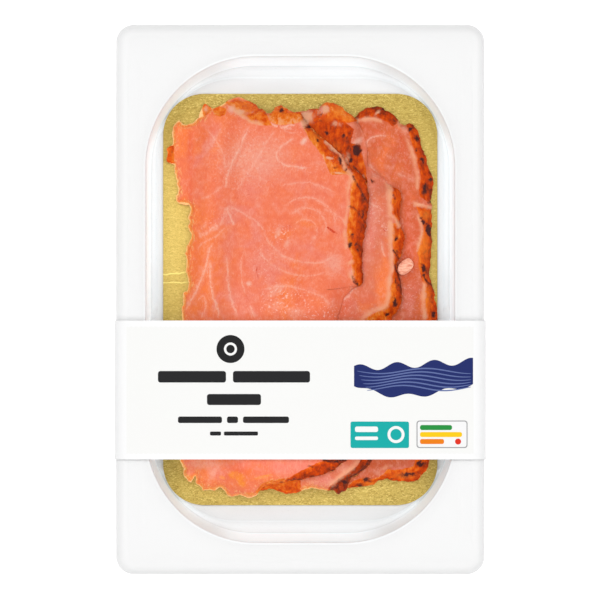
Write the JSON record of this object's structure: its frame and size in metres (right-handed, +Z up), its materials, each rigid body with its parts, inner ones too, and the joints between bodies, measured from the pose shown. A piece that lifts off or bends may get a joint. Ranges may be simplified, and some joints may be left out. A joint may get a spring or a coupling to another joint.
{
  "type": "pack of flame-roasted salmon",
  "caption": "Shut white tray of thick roasted salmon slices, fanned on a gold board, with a clear lid film and a card sleeve round it.",
  "frame": {"origin": "under the middle of the pack, on the surface it rests on", "axes": "+X across the pack, +Y along it towards the end far from the sleeve, +Z up through the lid film"},
  "size_m": [0.1352, 0.2, 0.0162],
  "materials": {
    "tray_plastic": "white thermoformed sheet, soft gloss",
    "clear_film": "thin clear lid film, glossy",
    "gold_board": "metallised board, fine crinkled grain, satin",
    "roasted_salmon": "moist cooked fish with a browned, charred crust",
    "pale_salmon": "dry pale cooked flake",
    "sleeve_card": "smooth off-white printed card, matt"
  },
  "bodies": {
    "root": {"tray": "tray_plastic", "film": "clear_film", "card": "gold_board", "slice_top": "roasted_salmon", "slice_middle": "roasted_salmon", "slice_bottom": "roasted_salmon", "loose_flake": "pale_salmon", "sleeve": "sleeve_card"}
  },
  "joints": []
}
